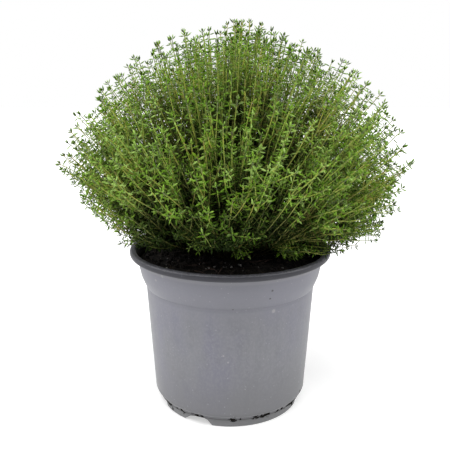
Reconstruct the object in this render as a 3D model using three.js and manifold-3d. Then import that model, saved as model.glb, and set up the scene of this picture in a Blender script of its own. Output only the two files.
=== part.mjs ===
// Potted thyme: a moulded nursery pot, its potting soil and a mound of leafy sprays.
// Millimetres, +Z up, the front of the plant faces -Y.
// The origin is the centre of the foot ring's underside, on the pot's axis.
import * as THREE from "three";
import { mergeVertices } from "three/addons/utils/BufferGeometryUtils.js";
import Module from "manifold-3d";

const wasm = await Module();
wasm.setup();

// Clear gaps: round a stem in its hole, and between the soil and the pot.
const stemGap = 0.3;
const soilGap = 0.4;

// Pot.
const potHeight = 137;
const rimRadius = 85;
const lipHeight = 5.6;
const lipRound = 1.2;
const collarTopRadius = 78.3;
const collarFootRadius = 75.7;
const collarFootHeight = 115;
const waistRadius = 71.8;
const waistHeight = 106.4;
const wallFootRadius = 65.8;
const wallFootHeight = 16;
const wallThickness = 1.6;
const floorHeight = 7.2;
const floorThickness = 1.8;
const floorRadius = 60;
const cornerRise = 2.2;
const footRadius = 60;
const footRingWidth = 2.8;
const ledgeRadius = 63.1;
const potSides = 36;

// Drain notches in the foot ring: direction from the front in degrees, and width.
const drainNotches = [
  { direction: -28, width: 29 },
  { direction: -76, width: 27 },
  { direction: -128, width: 24 },
  { direction: 180, width: 26 },
  { direction: 128, width: 24 },
  { direction: 77, width: 16 },
];
const notchHeight = 6.4;
const notchSlope = 4;
const drainHoleRadius = 5;
const drainHoleCircle = 47;
const drainHoleSides = 6;

// Soil.
const soilLevel = 129;
const soilCrown = 3;
const soilBump = 0.45;
const soilSides = 22;
const soilRings = [0.8, 0.5];

// Mound of foliage: a ball, drawn in towards its top and foot, that the tips of the sprays reach.
// The feet stand in a clump that is a little behind the pot's axis.
const sprayCount = 38;
const moundCentre = 209;
const moundRadius = 142;
const moundHalfHeight = 114.5;
const moundTaper = 0.7;
const lowestTip = THREE.MathUtils.degToRad(116);
const shortestReach = 0.93;
const innerFootCircle = 5;
const outerFootCircle = 32;
const clumpBack = 10;
const kneeShare = 0.3;
const kneeRise = 15;
const frontLift = 12;
const seed = 24;

// Stems: half of the width of their square section, at the foot and at the tip.
const footHalfWidth = 1.05;
const tipHalfWidth = 0.45;
const rootDepth = 9;
const footRise = 3;

// Leaves stand in opposite pairs, each pair a quarter turn from the last. A tuft is two pairs at
// one level, as where young leaves sit in the axils of a pair.
const leafLength = 6.4;
const leafWidth = 2.6;
const leafWidest = 0.42;
const axilHeight = 1.7;
const tipLeafAngle = THREE.MathUtils.degToRad(42);
const lowLeafAngle = THREE.MathUtils.degToRad(72);

// What stands at each level of a shoot, by distance from its tip or from its fork.
const tipLevels = [
  { fromTip: 2.4, grows: "tuft" },
  { fromTip: 10, grows: "pair" },
  { fromTip: 20, grows: "tuft" },
];
const forkLevels = [
  { fromFork: -2.4, grows: "pair" },
  { fromFork: 0, grows: "fork" },
  { fromFork: 18, grows: "tuft" },
  { fromFork: 42, grows: "pair" },
];
const sideLevels = [
  { fromTip: 2.4, grows: "tuft" },
  { fromTip: 12, grows: "tuft" },
];
const bareFoot = 8;

// Side shoots stand in one opposite pair at the fork.
const nearestFork = 33;
const furthestFork = 56;
const sideShare = 0.88;
const sideStartAngle = THREE.MathUtils.degToRad(44);
const sideBend = 0.36;
const sideSpread = 15.5;

const goldenAngle = Math.PI * (3 - Math.sqrt(5));
const up = new THREE.Vector3(0, 0, 1);

// A repeatable fraction from 0 to 1 for one spray and one use.
function scatter(number, use) {
  const value = Math.sin((number + seed) * 12.9898 + use * 78.233) * 43758.5453;
  return value - Math.floor(value);
}

// A closed geometry as a solid that can be joined and cut.
function solidFrom(geometry) {
  const bare = geometry.index ? geometry.toNonIndexed() : geometry.clone();
  bare.deleteAttribute("normal");
  bare.deleteAttribute("uv");
  const merged = mergeVertices(bare, 1e-4);
  const corners = merged.index.array;
  const kept = [];
  for (let i = 0; i < corners.length; i += 3) {
    const [a, b, c] = corners.slice(i, i + 3);
    if (a !== b && b !== c && c !== a) kept.push(a, b, c);
  }
  return new wasm.Manifold(
    new wasm.Mesh({
      numProp: 3,
      vertProperties: merged.attributes.position.array,
      triVerts: new Uint32Array(kept),
    }),
  );
}

// A solid's surface as a geometry.
function geometryFrom(solid) {
  const mesh = solid.getMesh();
  const geometry = new THREE.BufferGeometry();
  const places = new THREE.BufferAttribute(new Float32Array(mesh.vertProperties), 3);
  geometry.setAttribute("position", places);
  geometry.setIndex(new THREE.BufferAttribute(new Uint32Array(mesh.triVerts), 1));
  geometry.computeVertexNormals();
  return geometry;
}

// A profile of [radius, height] points turned about the upright axis.
function turned(profile, sides) {
  const points = profile.map(([radius, height]) => new THREE.Vector2(radius, height));
  return new THREE.LatheGeometry(points, sides).rotateX(Math.PI / 2);
}

function namedMesh(name, geometry, color, roughness) {
  const material = new THREE.MeshStandardMaterial({ color, roughness, metalness: 0 });
  material.flatShading = true;
  const mesh = new THREE.Mesh(geometry, material);
  mesh.name = name;
  return mesh;
}

// The pot's inner wall, from the lip down to the floor, as [radius, height].
const innerWall = [
  [collarTopRadius - wallThickness, potHeight - lipHeight],
  [collarFootRadius - wallThickness, collarFootHeight],
  [waistRadius - wallThickness, waistHeight],
  [wallFootRadius - wallThickness, wallFootHeight],
  [floorRadius + cornerRise, floorHeight + floorThickness + cornerRise],
  [floorRadius, floorHeight + floorThickness],
];

function potProfile() {
  const lipBottom = potHeight - lipHeight;
  return [
    [0, floorHeight],
    [footRadius - footRingWidth, floorHeight],
    [footRadius - footRingWidth, 0],
    [footRadius, 0],
    [footRadius, floorHeight],
    [ledgeRadius, floorHeight],
    [wallFootRadius - cornerRise / 3, floorHeight + 2 * cornerRise],
    [wallFootRadius, wallFootHeight],
    [waistRadius, waistHeight],
    [collarFootRadius, collarFootHeight],
    [collarTopRadius, lipBottom],
    [rimRadius - lipRound, lipBottom],
    [rimRadius, lipBottom + lipRound],
    [rimRadius - lipRound / 3, potHeight - lipRound],
    [rimRadius - 2.3 * lipRound, potHeight],
    [collarTopRadius, potHeight - lipRound / 2],
    ...innerWall,
    [0, floorHeight + floorThickness],
  ];
}

// A slant-sided block across the foot ring, in its direction from the front.
function notchBlock({ direction, width }) {
  const half = width / 2;
  const outline = new THREE.Shape();
  outline.moveTo(-half, -1);
  outline.lineTo(half, -1);
  outline.lineTo(half - notchSlope, notchHeight);
  outline.lineTo(-half + notchSlope, notchHeight);
  outline.closePath();
  const reach = footRadius / 3;
  const block = new THREE.ExtrudeGeometry(outline, { depth: reach, bevelEnabled: false });
  block.translate(0, 0, footRadius - 0.7 * reach);
  block.rotateX(Math.PI / 2);
  block.rotateZ(THREE.MathUtils.degToRad(direction));
  return solidFrom(block);
}

function drainHole({ direction }) {
  const depth = 3 * floorThickness;
  const hole = new THREE.CylinderGeometry(drainHoleRadius, drainHoleRadius, depth, drainHoleSides);
  hole.rotateX(Math.PI / 2);
  hole.translate(0, -drainHoleCircle, floorHeight + floorThickness / 2);
  hole.rotateZ(THREE.MathUtils.degToRad(direction));
  return solidFrom(hole);
}

function makePot() {
  let pot = solidFrom(turned(potProfile(), potSides));
  for (const notch of drainNotches) {
    pot = pot.subtract(notchBlock(notch));
    pot = pot.subtract(drainHole(notch));
  }
  return namedMesh("pot", geometryFrom(pot), 0x8b8c95, 0.62);
}

// The soil's surface: slightly raised in the middle, with low bumps.
function soilHeight(x, y) {
  const share = Math.hypot(x, y) / collarTopRadius;
  const bumps = Math.sin(x * 0.21 + 1.3) * Math.cos(y * 0.17) + Math.sin(x * 0.09 - y * 0.13);
  return soilLevel + soilCrown * (1 - share * share) + soilBump * bumps;
}

// The soil fills the pot with a gap to its flat-sided wall.
function soilBody() {
  const flatShare = Math.cos(Math.PI / potSides);
  const inset = ([radius, height]) => [radius * flatShare - soilGap, height + soilGap];
  const [mouth, ...wall] = innerWall.map(inset);
  const edge = mouth[0] - soilGap;
  const profile = [
    [0, floorHeight + floorThickness + soilGap],
    ...wall.reverse(),
    [edge, soilLevel],
    ...soilRings.map((share) => [edge * share, soilLevel]),
    [0, soilLevel],
  ];
  const body = turned(profile, soilSides);
  const place = body.attributes.position;
  for (let i = 0; i < place.count; i += 1) {
    const onTop = place.getZ(i) > soilLevel - 1;
    if (onTop) place.setZ(i, soilHeight(place.getX(i), place.getY(i)));
  }
  return solidFrom(body);
}

// A square hole for a spray's foot, with the gap all round it.
function footHole(spray) {
  const side = 2 * (footHalfWidth + stemGap);
  const height = 2 * rootDepth;
  const hole = new THREE.BoxGeometry(side, side, height);
  hole.rotateZ(spray.turn);
  hole.translate(spray.root.x, spray.root.y, spray.root.z - stemGap + height / 2);
  return solidFrom(hole);
}

function makeSoil(sprays) {
  let soil = soilBody();
  for (const spray of sprays) soil = soil.subtract(footHole(spray));
  return namedMesh("potting_soil", geometryFrom(soil), 0x1d1a19, 0.96);
}

// Where a spray stands and where its tip reaches: a golden-angle spiral spreads the feet evenly
// over the clump and the tips evenly over the mound, and no two stems change places.
function sprayPlan(number) {
  const share = (number + 0.5) / sprayCount;
  const outward = Math.sqrt(share);
  const bearing = number * goldenAngle;
  const direction = new THREE.Vector3(Math.cos(bearing), Math.sin(bearing), 0);
  const footCircle = THREE.MathUtils.lerp(innerFootCircle, outerFootCircle, outward);
  const root = direction.clone().multiplyScalar(footCircle);
  root.y += clumpBack;
  const ground = soilHeight(root.x, root.y);
  root.z = ground - rootDepth;
  const foot = root.clone().setZ(ground + footRise);
  const reach = THREE.MathUtils.lerp(shortestReach, 1, scatter(number, 1));
  const level = 1 - (1 - Math.cos(lowestTip)) * share;
  const tip = direction.clone();
  tip.multiplyScalar(moundRadius * reach * Math.pow(1 - level * level, moundTaper));
  tip.z = moundCentre + moundHalfHeight * reach * level;
  tip.z += frontLift * share * Math.pow(Math.max(-direction.y, 0), 2);
  const knee = foot.clone().lerp(tip, kneeShare);
  knee.z += kneeRise * share;
  return {
    number,
    root,
    stem: new THREE.QuadraticBezierCurve3(foot, knee, tip),
    turn: scatter(number, 2) * Math.PI,
    forkAt: THREE.MathUtils.lerp(nearestFork, furthestFork, scatter(number, 5)),
  };
}

// A closed skin that grows ring by ring. Each ring has four corners round the stem.
class Skin {
  places = [];
  faces = [];

  corner(place) {
    this.places.push(place);
    return this.places.length - 1;
  }

  face(a, b, c) {
    this.faces.push(a, b, c);
  }

  ring(centre, along, side, halfWidth) {
    const flat = side.clone().addScaledVector(along, -side.dot(along)).normalize();
    const front = along.clone().cross(flat);
    const signs = [[1, 1], [-1, 1], [-1, -1], [1, -1]];
    const corners = signs.map(([s, f]) => {
      const place = centre.clone().addScaledVector(flat, s * halfWidth);
      return this.corner(place.addScaledVector(front, f * halfWidth));
    });
    return { corners, along, side: flat };
  }

  cap(ring, outward) {
    const [a, b, c, d] = ring.corners;
    if (outward) {
      this.face(a, b, c);
      this.face(a, c, d);
    } else {
      this.face(c, b, a);
      this.face(d, c, a);
    }
  }

  // The four corners of one side of the stem between two rings, anticlockwise from outside.
  sideCorners(lower, upper, number) {
    const next = (number + 1) % 4;
    return [
      lower.corners[number],
      lower.corners[next],
      upper.corners[next],
      upper.corners[number],
    ];
  }

  plainSide(lower, upper, number) {
    const [a, b, c, d] = this.sideCorners(lower, upper, number);
    this.face(a, b, c);
    this.face(a, c, d);
  }

  // A keeled blade that grows from the foot of one side of the stem.
  leafSide(lower, upper, number, angle) {
    const [a, b, c, d] = this.sideCorners(lower, upper, number);
    const [left, right, high] = [a, b, d].map((corner) => this.places[corner]);
    const base = left.clone().add(right).multiplyScalar(0.5);
    const across = left.clone().sub(right).normalize();
    const along = high.clone().sub(left).normalize();
    const outward = along.clone().cross(across).normalize();
    const way = outward.multiplyScalar(Math.sin(angle)).addScaledVector(along, Math.cos(angle));
    const axil = this.corner(base.clone().addScaledVector(along, axilHeight));
    const middle = base.clone().addScaledVector(way, leafLength * leafWidest);
    const edgeLeft = this.corner(middle.clone().addScaledVector(across, leafWidth / 2));
    const edgeRight = this.corner(middle.clone().addScaledVector(across, -leafWidth / 2));
    const tip = this.corner(base.clone().addScaledVector(way, leafLength));
    this.face(b, c, axil);
    this.face(c, d, axil);
    this.face(d, a, axil);
    this.face(axil, a, edgeLeft);
    this.face(axil, edgeLeft, tip);
    this.face(axil, tip, edgeRight);
    this.face(axil, edgeRight, b);
    this.face(a, b, edgeRight);
    this.face(a, edgeRight, edgeLeft);
    this.face(edgeLeft, edgeRight, tip);
  }

  geometry() {
    const points = this.places.flatMap((place) => place.toArray());
    const geometry = new THREE.BufferGeometry();
    geometry.setAttribute("position", new THREE.Float32BufferAttribute(points, 3));
    geometry.setIndex(this.faces);
    geometry.computeVertexNormals();
    return geometry;
  }
}

// Grows a shoot along a curve from a first ring, with its levels in order from the foot.
function growShoot(skin, firstRing, curve, startHalfWidth, levels) {
  const length = curve.getLength();
  const rings = levels.filter((level) => level.fromTip < length - bareFoot);
  rings.sort((one, other) => other.fromTip - one.fromTip);
  rings.push({ fromTip: 0, grows: "nothing" });
  let lower = firstRing;
  let grows = "nothing";
  let turn = 0;
  for (const next of rings) {
    const place = 1 - next.fromTip / length;
    const halfWidth = THREE.MathUtils.lerp(startHalfWidth, tipHalfWidth, place);
    const centre = curve.getPointAt(place);
    const upper = skin.ring(centre, curve.getTangentAt(place), lower.side, halfWidth);
    const angle = THREE.MathUtils.lerp(lowLeafAngle, tipLeafAngle, Math.pow(place, 4));
    for (let side = 0; side < 4; side += 1) {
      const facing = side % 2 === turn % 2;
      if (grows === "tuft" || (grows === "pair" && facing)) {
        skin.leafSide(lower, upper, side, angle);
      } else if (grows === "fork" && facing) {
        growSideShoot(skin, lower, upper, side, next.fromTip, halfWidth);
      } else {
        skin.plainSide(lower, upper, side);
      }
    }
    if (grows === "pair" || grows === "fork") turn += 1;
    grows = next.grows;
    lower = upper;
  }
  skin.cap(lower, true);
}

// A side shoot starts from the four corners of one side of the main stem.
function growSideShoot(skin, lower, upper, side, fromTip, halfWidth) {
  const corners = skin.sideCorners(lower, upper, side);
  const [a, b, c, d] = corners.map((corner) => skin.places[corner]);
  const start = a.clone().add(b).add(c).add(d).multiplyScalar(0.25);
  const across = a.clone().sub(b).normalize();
  const along = lower.along.clone();
  const outward = along.clone().cross(across).normalize();
  const length = fromTip * sideShare;
  const toward = (angle, reach) => start.clone()
    .addScaledVector(outward, Math.sin(angle) * reach)
    .addScaledVector(along, Math.cos(angle) * reach);
  const bend = toward(sideStartAngle, length * sideBend);
  const tip = toward(Math.asin(sideSpread / length), length);
  const curve = new THREE.QuadraticBezierCurve3(start, bend, tip);
  growShoot(skin, { corners, along, side: across }, curve, halfWidth, sideLevels);
}

function makeSpray(spray) {
  const skin = new Skin();
  const side = new THREE.Vector3(Math.cos(spray.turn), Math.sin(spray.turn), 0);
  const root = skin.ring(spray.root, up, side, footHalfWidth);
  const foot = skin.ring(spray.stem.v0, up, side, footHalfWidth);
  skin.cap(root, false);
  for (let number = 0; number < 4; number += 1) skin.plainSide(root, foot, number);
  const fromFork = forkLevels.map((level) => ({
    fromTip: spray.forkAt + level.fromFork,
    grows: level.grows,
  }));
  growShoot(skin, foot, spray.stem, footHalfWidth, [...tipLevels, ...fromFork]);
  const name = `thyme_spray_${String(spray.number + 1).padStart(2, "0")}`;
  const green = new THREE.Color(0x5f7f35);
  const shade = scatter(spray.number, 3) - 0.5;
  green.offsetHSL(0.03 * shade, 0, 0.05 * shade);
  return namedMesh(name, skin.geometry(), green, 0.7);
}

const sprays = Array.from({ length: sprayCount }, (unused, number) => sprayPlan(number));
const thyme = new THREE.Group();
thyme.add(makePot());
thyme.add(makeSoil(sprays));
for (const spray of sprays) thyme.add(makeSpray(spray));

export default thyme;
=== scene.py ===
import math

import bpy
import bmesh
import numpy as np
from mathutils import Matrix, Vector


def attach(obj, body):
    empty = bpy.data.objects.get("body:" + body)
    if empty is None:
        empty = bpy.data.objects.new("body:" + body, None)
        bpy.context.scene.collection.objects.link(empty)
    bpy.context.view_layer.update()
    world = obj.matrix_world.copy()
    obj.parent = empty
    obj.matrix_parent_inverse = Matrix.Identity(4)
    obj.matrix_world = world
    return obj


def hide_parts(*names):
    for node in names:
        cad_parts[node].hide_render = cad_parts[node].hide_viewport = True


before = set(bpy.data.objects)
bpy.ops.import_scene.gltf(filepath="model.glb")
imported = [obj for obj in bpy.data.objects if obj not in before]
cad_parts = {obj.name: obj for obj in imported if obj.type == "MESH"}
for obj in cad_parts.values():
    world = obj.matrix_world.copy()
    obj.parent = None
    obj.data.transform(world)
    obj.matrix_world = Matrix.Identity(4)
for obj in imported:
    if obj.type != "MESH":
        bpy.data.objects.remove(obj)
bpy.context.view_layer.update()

scene = bpy.context.scene
print("frame loaded:", len(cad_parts), "nodes")


# small helpers for meshes

def inScene(name, data):
    obj = bpy.data.objects.new(name, data)
    scene.collection.objects.link(obj)
    return obj


def newObject(name, verts, faces, smooth=True):
    mesh = bpy.data.meshes.new(name)
    mesh.from_pydata([tuple(v) for v in verts], [], faces)
    mesh.update()
    mesh.polygons.foreach_set("use_smooth", [smooth] * len(mesh.polygons))
    return inScene(name, mesh)


def addLayer(mesh, name, values, domain="POINT"):
    layer = mesh.attributes.new(name, "FLOAT", domain)
    layer.data.foreach_set("value", np.asarray(values, np.float32))


def mix(low, high, share):
    return low + (high - low) * share


def facing(angle, radius):
    # across and back for a point round the axis, with the angle taken from the front
    return radius * math.sin(angle), -radius * math.cos(angle)


def nextRing(verts, sides):
    # the numbers that the next ring of points will have
    return list(range(len(verts), len(verts) + sides))


def addRing(verts, radius, height, sides):
    ring = nextRing(verts, sides)
    verts += [(*facing(2 * math.pi * k / sides, radius), height) for k in range(sides)]
    return ring


def joinRings(rings):
    # the faces between each ring and the next, with triangles where a ring is a single point
    faces = []
    for lower, upper in zip(rings, rings[1:]):
        for k in range(len(lower)):
            n = (k + 1) % len(lower)
            corners = [lower[k], lower[n], upper[n], upper[k]]
            faces.append([c for i, c in enumerate(corners) if c not in corners[:i]])
    return faces


def endFaces(rings):
    return [list(rings[0])[::-1], list(rings[-1])]


# small helpers for node materials; a value is a number, a colour or another node's output

def feed(tree, socket, value):
    if isinstance(value, bpy.types.NodeSocket):
        tree.links.new(value, socket)
    elif socket.type == "RGBA":
        socket.default_value = (*value, 1.0)
    else:
        socket.default_value = value


def addNode(tree, kind, inputs=None, **settings):
    node = tree.nodes.new(kind)
    for key, value in settings.items():
        setattr(node, key, value)
    for key, value in (inputs or {}).items():
        feed(tree, node.inputs[key], value)
    return node


def newMaterial(name):
    material = bpy.data.materials.new(name)
    material.use_nodes = True
    material.node_tree.nodes.clear()
    return material, material.node_tree


def finished(material, values, bump=None):
    # the material's surface from its values, with a bump from a height, a strength and a distance
    tree = material.node_tree
    if bump:
        dents = addNode(tree, "ShaderNodeBump", dict(zip(("Height", "Strength", "Distance"), bump)))
        values = values | {"Normal": dents.outputs["Normal"]}
    surface = addNode(tree, "ShaderNodeBsdfPrincipled", values)
    addNode(tree, "ShaderNodeOutputMaterial", {"Surface": surface.outputs["BSDF"]})
    return material


def ramp(tree, factor, stops):
    node = addNode(tree, "ShaderNodeValToRGB", {"Fac": factor})
    bands = node.color_ramp.elements
    while len(bands) < len(stops):
        bands.new(0.5)
    for band, (spot, colour) in zip(bands, stops):
        band.position = spot
        band.color = (*colour, 1.0)
    return node.outputs["Color"]


def layered(tree, base, layers):
    # one colour over another, each where its own mask says
    for mask, colour in layers:
        base = addNode(tree, "ShaderNodeMix", {0: mask, 6: base, 7: colour}, data_type="RGBA").outputs[2]
    return base


def sums(tree, operation, first, second=0.5):
    return addNode(tree, "ShaderNodeMath", {0: first, 1: second}, operation=operation).outputs[0]


def times(tree, first, second):
    return sums(tree, "MULTIPLY", first, second)


def between(tree, value, low, high, toLow=0.0, toHigh=1.0):
    ends = {"Value": value, "From Min": low, "From Max": high, "To Min": toLow, "To Max": toHigh}
    return addNode(tree, "ShaderNodeMapRange", ends, interpolation_type="SMOOTHSTEP").outputs["Result"]


def readAttribute(tree, name):
    return addNode(tree, "ShaderNodeAttribute", attribute_name=name).outputs["Fac"]


def ownPoint(tree):
    return addNode(tree, "ShaderNodeTexCoord").outputs["Object"]


def ownParts(tree):
    return addNode(tree, "ShaderNodeSeparateXYZ", {0: ownPoint(tree)}).outputs


def seenByCamera(tree):
    return addNode(tree, "ShaderNodeLightPath").outputs["Is Camera Ray"]


def place(tree, group, **values):
    return addNode(tree, "ShaderNodeGroup", values, node_tree=group).outputs


# shared effects

def newGroup(name, inputs, outputs):
    group = bpy.data.node_groups.new(name, "ShaderNodeTree")
    for way, keys in (("INPUT", inputs), ("OUTPUT", outputs)):
        for key in keys:
            kind = "NodeSocketVector" if key == "Centre" else "NodeSocketFloat"
            group.interface.new_socket(key, in_out=way, socket_type=kind)
    return group, group.nodes.new("NodeGroupInput").outputs


def makeUnevenTone():
    # uneven tone at two scales, from the piece's own coordinates
    group, inside = newGroup("unevenTone", ("Scale", "Stretch", "Fine"), ("Tone", "Grain"))
    parts = ownParts(group)
    tall = {"X": parts["X"], "Y": parts["Y"], "Z": times(group, parts["Z"], inside["Stretch"])}
    tall = addNode(group, "ShaderNodeCombineXYZ", tall).outputs[0]
    results = {}
    for key, spot, scale, detail in (("Tone", tall, "Scale", 5.0), ("Grain", ownPoint(group), "Fine", 3.0)):
        noise = addNode(group, "ShaderNodeTexNoise", {"Vector": spot, "Scale": inside[scale], "Detail": detail})
        results[key] = noise.outputs["Fac"]
    addNode(group, "NodeGroupOutput", results)
    return group


def makeSpecks():
    # scattered specks: a mask that is 1 in small uneven dots
    group, inside = newGroup("scatteredSpecks", ("Scale", "Size", "Share"), ("Mask",))
    spread = {"Vector": ownPoint(group), "Scale": inside["Scale"]}
    cells = addNode(group, "ShaderNodeTexVoronoi", spread, feature="F1").outputs
    chosen = addNode(group, "ShaderNodeSeparateColor", {"Color": cells["Color"]}).outputs["Red"]
    near = sums(group, "LESS_THAN", cells["Distance"], inside["Size"])
    picked = sums(group, "LESS_THAN", chosen, inside["Share"])
    addNode(group, "NodeGroupOutput", {"Mask": times(group, near, picked)})
    return group


def makeWallSpot():
    # one soft-edged spot round a point on the piece
    group, inside = newGroup("wallSpot", ("Centre", "Radius"), ("Mask",))
    ends = {0: ownPoint(group), 1: inside["Centre"]}
    away = addNode(group, "ShaderNodeVectorMath", ends, operation="DISTANCE").outputs["Value"]
    ragged = addNode(group, "ShaderNodeTexNoise", {"Scale": 700.0}).outputs["Fac"]
    share = sums(group, "DIVIDE", away, inside["Radius"])
    share = sums(group, "ADD", share, times(group, ragged, 1.2))
    addNode(group, "NodeGroupOutput", {"Mask": between(group, share, 1.6, 1.1)})
    return group


unevenTone = makeUnevenTone()
scatteredSpecks = makeSpecks()
wallSpot = makeWallSpot()
print("shared effects made")


# the nursery pot

pot = {
    "height": 0.137, "rimRadius": 0.085, "lipHeight": 0.0056, "collarTop": 0.0792, "ledge": 0.0631,
    # radius and height of the wall's corners
    "collarFoot": (0.0757, 0.115), "waist": (0.0718, 0.1064), "wallFoot": (0.0658, 0.016),
    "wall": 0.0016, "floorHeight": 0.0072, "floorThickness": 0.0018, "footRadius": 0.060, "footRing": 0.0028,
    # how round the turned shape is, and the angle in degrees from which an edge looks sharp
    "sides": 288, "sharpFrom": 34,
    # drain notches: direction from the front in degrees, width, lean of the left and right side
    "notches": ((-27.2, 0.0310, 0.0125, 0.0080), (-76, 0.027, 0.004, 0.004), (-128, 0.024, 0.004, 0.004),
                (180, 0.026, 0.004, 0.004), (128, 0.024, 0.004, 0.004), (77, 0.016, 0.004, 0.004)),
    "notchHeight": 0.0064, "notchCorner": 0.0016, "notchInward": 0.014, "notchOutward": 0.006,
    "holeRadius": 0.005, "holeCircle": 0.047, "holeSides": 24, "holeBelow": 0.003, "holeAbove": 0.005,
}


def arcPoints(centreR, centreZ, radius, fromAngle, toAngle, count):
    angles = np.radians(np.linspace(fromAngle, toAngle, count))
    return [(centreR + radius * math.cos(a), centreZ + radius * math.sin(a)) for a in angles]


def beside(corner, *steps):
    # points a small step out and up from a corner of the section
    return [(corner[0] + out, corner[1] + up) for out, up in steps]


def slope(low, high, start, end, count):
    # evenly spaced points on the straight part between two corners
    return [(mix(low[0], high[0], t), mix(low[1], high[1], t)) for t in np.linspace(start, end, count)]


def potSection():
    # (radius, height) from the axis under the floor, round the outside and down the inside; with zones
    p = pot
    foot, rim, wall = p["footRadius"], p["rimRadius"], p["wall"]
    floor, top, lipBottom = p["floorHeight"], p["height"], p["height"] - p["lipHeight"]
    outer = [(0.0, floor), (0.03, floor), (foot - p["footRing"], floor)]
    outer += beside((foot - p["footRing"], 0.0), (0.0002, 0.0004), (0.0006, 0.0))
    outer += beside((foot, 0.0), (-0.0007, 0.0), (-0.0001, 0.0006), (0.0, 0.0025))
    outer += beside((foot, floor), (0.0002, -0.0008), (0.0008, -0.0001))
    outer += beside((p["ledge"], floor), (-0.0006, 0.0003))
    outer += arcPoints(p["wallFoot"][0] - 0.0052, p["wallFoot"][1] - 0.0014, 0.0052, -58, -4, 9)
    outer += slope(p["wallFoot"], p["waist"], 0.0, 0.985, 26)
    outer += beside(p["waist"], (0.0, -0.0002), (0.00045, 0.0003), (0.0009, 0.0014), (0.0019, 0.0036))
    outer += beside(p["collarFoot"], (-0.0010, -0.0024), (-0.0002, -0.0004))
    outer += slope(p["collarFoot"], (p["collarTop"], lipBottom), 0.08, 0.96, 6)
    lip = [(p["collarTop"] + 0.0004, lipBottom + 0.0001), (rim - 0.0027, lipBottom + 0.0001)]
    lip += arcPoints(rim - 0.0025, lipBottom + 0.0026, 0.0025, -80, 0, 7)
    lip += arcPoints(rim - 0.0019, top - 0.0019, 0.0019, 8, 90, 7)
    lip += arcPoints(rim - 0.0036, top - 0.0018, 0.0018, 100, 165, 5)
    inner = [(p["collarTop"] + 0.0006, top - 0.0030)]
    inner += beside((p["collarTop"] - wall, lipBottom), (0.0003, 0.0008), (-0.0006, -0.004))
    inner += [(radius - wall, height) for radius, height in (p["collarFoot"], p["waist"], p["wallFoot"])]
    inner += beside((0.0, floor), (0.0622, 0.0040))
    inner += [(radius, floor + p["floorThickness"]) for radius in (0.060, 0.03, 0.0)]
    zones = [0] * len(outer) + [1] * len(lip) + [2] * len(inner)
    return outer + lip + inner, zones


def turnedMesh(name, section, sides):
    verts, rings = [], []
    for radius, height in section:
        if radius == 0.0:
            rings.append([len(verts)] * sides)
            verts.append((0.0, 0.0, height))
        else:
            rings.append(addRing(verts, radius, height, sides))
    return newObject(name, verts, joinRings(rings))


def cutAway(obj, cutters):
    # cuts each block out of the piece, and leaves only the finished mesh
    for cutter in cutters:
        cut = obj.modifiers.new("cut", "BOOLEAN")
        cut.operation = "DIFFERENCE"
        cut.solver = "EXACT"
        cut.object = cutter
    bpy.context.view_layer.update()
    finishedMesh = bpy.data.meshes.new_from_object(obj.evaluated_get(bpy.context.evaluated_depsgraph_get()))
    obj.modifiers.clear()
    obj.data = finishedMesh
    for cutter in cutters:
        bpy.data.objects.remove(cutter)


def block(name, lower, upper):
    # a solid block between two outlines of as many points
    rings = [range(len(lower)), range(len(lower), 2 * len(lower))]
    obj = newObject(name, lower + upper, endFaces(rings) + joinRings(rings))
    shape = bmesh.new()
    shape.from_mesh(obj.data)
    bmesh.ops.recalc_face_normals(shape, faces=shape.faces)
    shape.to_mesh(obj.data)
    shape.free()
    return obj


def notchCutter(direction, width, leanLeft, leanRight):
    # an arch with leaning sides and rounded top corners, through the foot ring
    half, top, soft = width / 2, pot["notchHeight"], pot["notchCorner"]
    outline = [(-half, -0.002), (half, -0.002), (half - leanRight * 0.75, top - soft),
               (half - leanRight - soft * 0.5, top - soft * 0.3), (half - leanRight - soft * 1.5, top),
               (-half + leanLeft + soft * 1.5, top), (-half + leanLeft + soft * 0.5, top - soft * 0.3),
               (-half + leanLeft * 0.75, top - soft)]
    turn = math.radians(direction)
    ends = []
    for reach in (pot["footRadius"] - pot["notchInward"], pot["footRadius"] + pot["notchOutward"]):
        ends.append([(across * math.cos(turn) + reach * math.sin(turn),
                      across * math.sin(turn) - reach * math.cos(turn), high) for across, high in outline])
    return block("notchBlock", *ends)


def holeCutter(direction):
    x, y = facing(math.radians(direction), pot["holeCircle"])
    angles = [2 * math.pi * k / pot["holeSides"] for k in range(pot["holeSides"])]
    ends = []
    for high in (pot["floorHeight"] - pot["holeBelow"], pot["floorHeight"] + pot["holeAbove"]):
        ends.append([(x + pot["holeRadius"] * math.cos(a), y + pot["holeRadius"] * math.sin(a), high) for a in angles])
    return block("holeBlock", *ends)


def makePot():
    section, zones = potSection()
    obj = turnedMesh("nurseryPot", section, pot["sides"])
    for number, polygon in enumerate(obj.data.polygons):
        polygon.material_index = zones[number // pot["sides"] + 1]
    for material in (greyPlastic(), charcoalPlastic(), blackPlastic()):
        obj.data.materials.append(material)
    cutters = [notchCutter(*notch) for notch in pot["notches"]]
    cutters += [holeCutter(notch[0]) for notch in pot["notches"]]
    cutAway(obj, cutters)
    obj.data.polygons.foreach_set("use_smooth", [True] * len(obj.data.polygons))
    obj.data.set_sharp_from_angle(angle=math.radians(pot["sharpFrom"]))
    paintDirt(obj)
    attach(obj, "root")
    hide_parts("pot")
    return obj


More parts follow.
